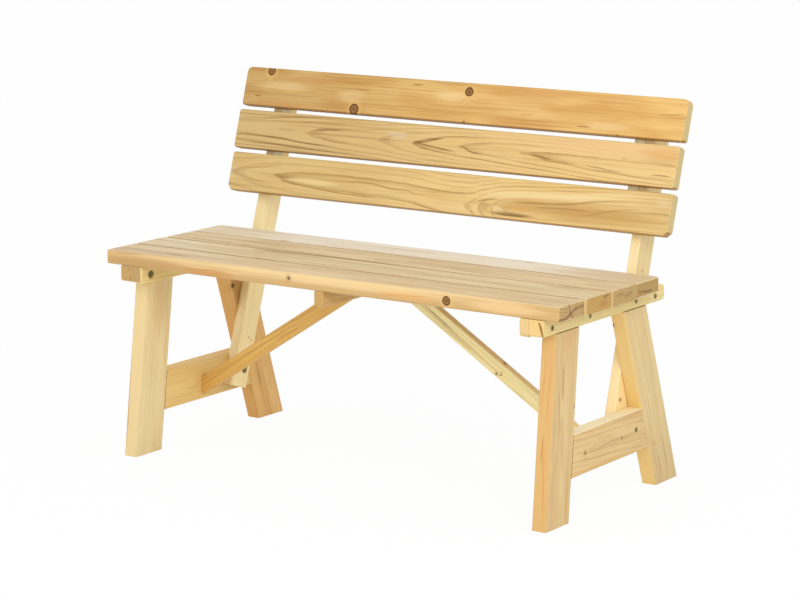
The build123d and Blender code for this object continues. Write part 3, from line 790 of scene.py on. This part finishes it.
            line([(-80, 15), (20, 15), (100, 16)], 3.0, 0.45, tone(200, 168, 118)),
            line([(-195, -14), (-150, -14), (-115, -12)], 4.0, 0.6, tone(196, 158, 110)),
            line([(-108, -12), (-92, -24), (-84, -34)], 3.0, 0.6, tone(190, 150, 104)),
            line([(-60, -13), (-20, -14), (20, -14)], 3.0, 0.5, tone(196, 160, 112))]),
    # Pale ground tones: painted light, offsetting the shade this board sits in.
    "stretcher_left": fir(
        14, pale=tone(242, 208, 136), warm=tone(232, 192, 116), late=tone(198, 150, 84),
        pith=(10.0, -50.0), spacing=5.0, lines=0.4, warmth=0.5,
        marks=[
            patch((0, 38), (170, 8), 0.6, tone(238, 208, 148), BACK),
            line([(-85, -11), (-60, -12), (-25, -13)], 2.0, 0.5, tone(198, 144, 78), BACK)]),
    "stretcher_right": fir(
        15, pale=tone(228, 198, 140), warm=tone(218, 180, 120), late=tone(176, 136, 82),
        light=tone(236, 208, 152), pith=([(-200, 10), (200, -10)], -60.0), spacing=4.0, lines=0.5,
        # Painted light on the upper face, which is in shade under the seat.
        warmth=0.5, edge=(1, 0.9, tone(252, 240, 200)),
        knots=[pin((-98, -2), 4.4), pin((42, -1), 3.4)],
        marks=[
            line(
                [(-140, 2), (-100, -2), (-60, -4), (0, 0), (60, -2), (125, -6)], 3.6, 0.55,
                tone(186, 150, 98)),
            line([(-140, -14), (-60, -19), (20, -21), (100, -25)], 1.8, 0.5, tone(190, 152, 96)),
            line([(-70, 20), (-20, 14), (40, 12)], 1.6, 0.45, tone(196, 156, 100)),
            patch((-20, -36), (160, 6), 0.55, tone(218, 172, 104)),
            patch((100, 34), (30, 8), 0.5, tone(224, 172, 102))]),
    "top_rail_left": fir(
        16, pale=tone(224, 194, 134), warm=tone(208, 168, 104), late=tone(172, 126, 72),
        end=tone(202, 166, 106), end_late=tone(168, 126, 72), pith=(10.0, -40.0), spacing=3.5,
        lines=0.4,
        marks=[
            patch((-8, -9), (5, 4), 0.7, tone(150, 110, 60), NEAR_END),
            patch((11, -8), (3.4, 4), 0.7, tone(140, 104, 56), NEAR_END),
            patch((6, -3), (2.4, 2), 0.6, tone(150, 110, 60), NEAR_END)]),
    "top_rail_right": fir(
        17, pale=tone(236, 216, 152), warm=tone(230, 204, 136), late=tone(196, 162, 104),
        light=tone(242, 222, 168), end=tone(240, 208, 140), end_late=tone(222, 176, 110),
        pith=(-30.0, -40.0), spacing=3.5, lines=0.3,
        marks=[
            patch((0, 10), (16, 7), 0.8, tone(224, 176, 110), NEAR_END),
            check((11, 6), (2, 10), 3.0, 0.85, tone(116, 82, 40), NEAR_END),
            check((2, 10), (-15, 15), 3.0, 0.85, tone(116, 82, 40), NEAR_END),
            patch((-61, 3), (9, 5), 0.6, tone(150, 120, 74)),
            patch((-198, 2), (6, 6), 0.5, tone(170, 140, 90)),
            patch((113, 0), (8, 5), 0.5, tone(160, 150, 84)),
            patch((189, 0), (10, 6), 0.5, tone(160, 150, 84))]),
    "inner_cleat_left": fir(
        18, pale=tone(248, 230, 158), warm=tone(238, 206, 132), late=tone(180, 134, 76),
        pith=(10.0, -40.0), spacing=3.5, lines=0.35),
    "inner_cleat_right": fir(
        19, pale=tone(230, 200, 138), warm=tone(214, 172, 106), late=tone(180, 134, 76),
        end=tone(236, 206, 146), end_late=tone(206, 168, 110), pith=(10.0, -40.0), spacing=3.5,
        lines=0.35),
    "centre_batten": fir(
        20, pale=tone(222, 186, 122), warm=tone(210, 166, 100), late=tone(176, 130, 72),
        end=tone(214, 172, 104), pith=(10.0, -40.0), spacing=3.5, lines=0.4),
    "back_cleat_left": fir(
        23, pale=tone(246, 222, 168), warm=tone(238, 206, 146), late=tone(214, 176, 114),
        pith=(30.0, -50.0), spacing=4.0, lines=0.35, warmth=0.4,
        # Painted light on the front face, which is in shade behind the slats.
        edge=(-1, 0.9, tone(255, 248, 208))),
    "back_cleat_right": fir(
        24, pale=tone(246, 222, 168), warm=tone(240, 208, 146), late=tone(214, 176, 114),
        pith=(-30.0, -50.0), spacing=4.0, lines=0.35, warmth=0.4,
        # Painted light on the front face, which is in shade behind the slats.
        edge=(-1, 0.9, tone(255, 248, 208))),
    # Pale ground tones: painted light, offsetting the shade this board sits in.
    "brace_left": fir(
        21, pale=tone(232, 188, 106), warm=tone(222, 172, 90), late=tone(176, 124, 58),
        light=tone(242, 202, 122), pith=(30.0, -40.0), spacing=3.0, lines=0.6, warmth=0.6,
        marks=[
            line([(-45, 2), (-10, 4), (20, 2), (60, 4)], 2.0, 0.6, tone(170, 120, 58)),
            line([(-250, 8), (-150, 12), (-60, 13), (80, 12)], 2.0, 0.5, tone(190, 138, 68))]),
    # Pale ground tones: painted light, offsetting the shade this board sits in.
    "brace_right": fir(
        22, pale=tone(255, 242, 182), warm=tone(252, 232, 166), late=tone(166, 122, 66),
        light=tone(246, 224, 172), pith=(-40.0, -30.0), spacing=3.0, lines=0.75, warmth=0.5,
        edge=(1, 0.7, tone(230, 196, 140)),
        knots=[pin((-28, 0), 3.2), pin((-29, 0), 5.0, UPPER)],
        marks=[
            check((-35, 10), (-39, 5), 1.8, 0.8, BROWN, FACE),
            check((-39, 5), (-35, 1), 1.8, 0.8, BROWN, FACE),
            line(
                [(-100, 5), (-60, 7), (-20, 5), (60, 7), (140, 5), (200, 8)], 1.8, 0.65,
                tone(170, 132, 76)),
            line([(0, 0), (60, 1), (120, -1), (190, -4)], 1.6, 0.55, tone(176, 138, 80)),
            # Painted shadow at the upper right, near the batten.
            line([(80, 10), (130, 10), (200, 12)], 2.4, 0.7, tone(120, 88, 44))])}

# ---------------------------------------------------------------- metal and dowels
METAL_MOTTLE = ((2.5, 2.5, 2.5), 3.0, 0.6)
DOWEL_FIBRES = ((0.8, 14.0, 0.8), 3.0, 0.6)
MOTTLE_EDGE = (0.3, 0.7)
STAIN_EDGE = (0.5, 0.75)
STAIN_SHARE = 0.6
METALLIC = 0.5


def millimetres(tree):
    place = tree.nodes.new("ShaderNodeTexCoord")
    return Field(tree, place.outputs["Object"]).vector("MULTIPLY", (1 / MM, 1 / MM, 1 / MM))


def zinc():
    """Dull zinc plate, a little stained."""
    material, tree, shader = new_material("zinc_plate")
    mottle, stain, grain = millimetres(tree).noise(*METAL_MOTTLE)
    colour = blend(mottle.step(*MOTTLE_EDGE), tone(146, 140, 88), tone(98, 92, 52))
    colour = blend(stain.step(*STAIN_EDGE) * STAIN_SHARE, colour, tone(128, 106, 66))
    plug(tree, shader.inputs["Base Color"], colour)
    plug(tree, shader.inputs["Roughness"], grain * 0.25 + 0.3)
    shader.inputs["Metallic"].default_value = METALLIC
    return material


def hardwood():
    """Turned dowel: fine straight fibres along the bench's depth."""
    material, tree, shader = new_material("hardwood_dowel")
    fibre, _, grain = millimetres(tree).noise(*DOWEL_FIBRES)
    plug(tree, shader.inputs["Base Color"], blend(fibre, tone(204, 164, 110), tone(168, 124, 74)))
    plug(tree, shader.inputs["Roughness"], grain * 0.2 + 0.5)
    return material


# ---------------------------------------------------------------- pieces
SOFT_ARRIS = 0.8 * MM
WORN_ARRIS = {
    "seat_plank_front": 3.6 * MM, "centre_batten": 1.6 * MM, "inner_cleat_right": 1.6 * MM}
ARRIS_ANGLE = math.radians(28)       # edges that turn by more than this are softened
WELD_GAP = 0.01 * MM


def soften(piece, width):
    """Soft arrises on a sawn board, wide ones past the short facets of a rounded edge."""
    weld = piece.modifiers.new("weld", "WELD")
    weld.merge_threshold = WELD_GAP
    bevel = piece.modifiers.new("bevel", "BEVEL")
    bevel.width = width
    bevel.use_clamp_overlap = width <= SOFT_ARRIS
    bevel.segments = 2 if width <= SOFT_ARRIS else 4
    bevel.limit_method = "ANGLE"
    bevel.angle_limit = ARRIS_ANGLE


def dress():
    metal, dowel = zinc(), hardwood()
    for name, piece in nodes.items():
        if name in LOOKS:
            material = timber(name, LOOKS[name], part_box(name))
            soften(piece, WORN_ARRIS.get(name, SOFT_ARRIS))
        else:
            material = dowel if name == "stretcher_dowels" else metal
        for material_slot in piece.material_slots:
            material_slot.material = material


BACK_CLEAT_WIDTH = 25 * MM
BACK_CLEAT_THICKNESS = 22 * MM
BACK_CLEAT_INSET = 6 * MM            # its ends short of the outer edges of the slats


def reach(name, axis):
    """Lowest and highest place of a board along an axis."""
    places = [axis.dot(corner.co) for corner in nodes[name].data.vertices]
    return min(places), max(places)


def back_cleat(side_name):
    """Strip on the inner side of a back post, its front face against the backs of the slats."""
    name = "back_cleat_" + side_name
    _, backward, outward = board_axes(name)
    up = Vector((0.0, math.sin(RAKE), math.cos(RAKE)))
    inner, _ = reach("back_post_" + side_name, outward)
    front, _ = reach("back_post_" + side_name, backward)
    low = reach("backrest_slat_bottom", up)[0] + BACK_CLEAT_INSET
    high = reach("backrest_slat_top", up)[1] - BACK_CLEAT_INSET
    mesh = bpy.data.meshes.new(name)
    shape = bmesh.new()
    corners = []
    for height in (low, high):
        for depth, layer in ((0, 0), (0, 1), (1, 1), (1, 0)):
            point = up * height + backward * (front + depth * BACK_CLEAT_THICKNESS)
            point.x = (inner - layer * BACK_CLEAT_WIDTH - outward.z * point.z) / outward.x
            corners.append(shape.verts.new(point))
    shape.faces.new(corners[:4])
    shape.faces.new(corners[4:])
    for first in range(4):
        second = (first + 1) % 4
        shape.faces.new((corners[first], corners[second], corners[second + 4], corners[first + 4]))
    bmesh.ops.recalc_face_normals(shape, faces=shape.faces)
    shape.to_mesh(mesh)
    shape.free()
    piece = bpy.data.objects.new(name, mesh)
    bpy.context.scene.collection.objects.link(piece)
    places = [corner.co for corner in mesh.vertices]
    box = [[pick(place[way] for place in places) for way in range(3)] for pick in (min, max)]
    mesh.materials.append(timber(name, LOOKS[name], box))
    soften(piece, SOFT_ARRIS)
    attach(piece, "root")


# ---------------------------------------------------------------- light and floor
# Each lamp: place, what it is aimed at, width in metres, power in watts.
LAMPS = {
    "key": ((2.6, -2.2, 2.4), (0, 0, 0.45), 2.0, 46.0),
    "fill": ((-1.6, -3.2, 0.9), (0, 0, 0.35), 2.5, 20.0)}
WORLD_LIGHT = 0.82                   # strength on the bench; what the camera sees is 1
FLOOR_HALF = 25.0
FLOOR_COLOUR = (0.88, 0.88, 0.88, 1)
FLOOR_ROUGHNESS = 0.9
FLOOR_GLOW = 0.96                    # share of plain white in the floor seen; the rest takes shadow


def add_lamp(name, place, aim, size, power):
    data = bpy.data.lights.new(name, "AREA")
    data.shape = "SQUARE"
    data.size = size
    data.energy = power
    lamp = bpy.data.objects.new(name, data)
    bpy.context.scene.collection.objects.link(lamp)
    lamp.location = place
    lamp.rotation_euler = (Vector(aim) - Vector(place)).to_track_quat("-Z", "Y").to_euler()


def background_share(tree):
    """1 where the camera, a reflection or glass sees the background."""
    path = tree.nodes.new("ShaderNodeLightPath")
    seen = Field(tree, path.outputs["Is Camera Ray"])
    for output in ("Is Glossy Ray", "Is Transmission Ray"):
        seen = seen.math("MAXIMUM", Field(tree, path.outputs[output]))
    return seen


def add_light():
    for name, settings in LAMPS.items():
        add_lamp(name, *settings)
    world = bpy.data.worlds.new("studio")
    bpy.context.scene.world = world
    world.use_nodes = True
    tree = world.node_tree
    background = tree.nodes["Background"]
    background.inputs["Color"].default_value = (1, 1, 1, 1)
    strength = background_share(tree) * (1 - WORLD_LIGHT) + WORLD_LIGHT
    plug(tree, background.inputs["Strength"], strength)


def add_floor():
    mesh = bpy.data.meshes.new("floor")
    corners = [(x * FLOOR_HALF, y * FLOOR_HALF, 0) for x, y in ((-1, -1), (1, -1), (1, 1), (-1, 1))]
    mesh.from_pydata(corners, [], [(0, 1, 2, 3)])
    floor = bpy.data.objects.new("floor", mesh)
    bpy.context.scene.collection.objects.link(floor)
    material, tree, shader = new_material("floor")
    shader.inputs["Base Color"].default_value = FLOOR_COLOUR
    shader.inputs["Roughness"].default_value = FLOOR_ROUGHNESS
    glow = tree.nodes.new("ShaderNodeEmission")
    glow.inputs["Color"].default_value = (1, 1, 1, 1)
    mix = tree.nodes.new("ShaderNodeMixShader")
    plug(tree, mix.inputs[0], background_share(tree) * FLOOR_GLOW)
    tree.links.new(shader.outputs[0], mix.inputs[1])
    tree.links.new(glow.outputs[0], mix.inputs[2])
    tree.links.new(mix.outputs[0], tree.nodes["Material Output"].inputs["Surface"])
    mesh.materials.append(material)


dress()
for side_name in ("left", "right"):
    back_cleat(side_name)
add_camera()
add_light()
add_floor()
bpy.context.scene.view_settings.view_transform = "Standard"
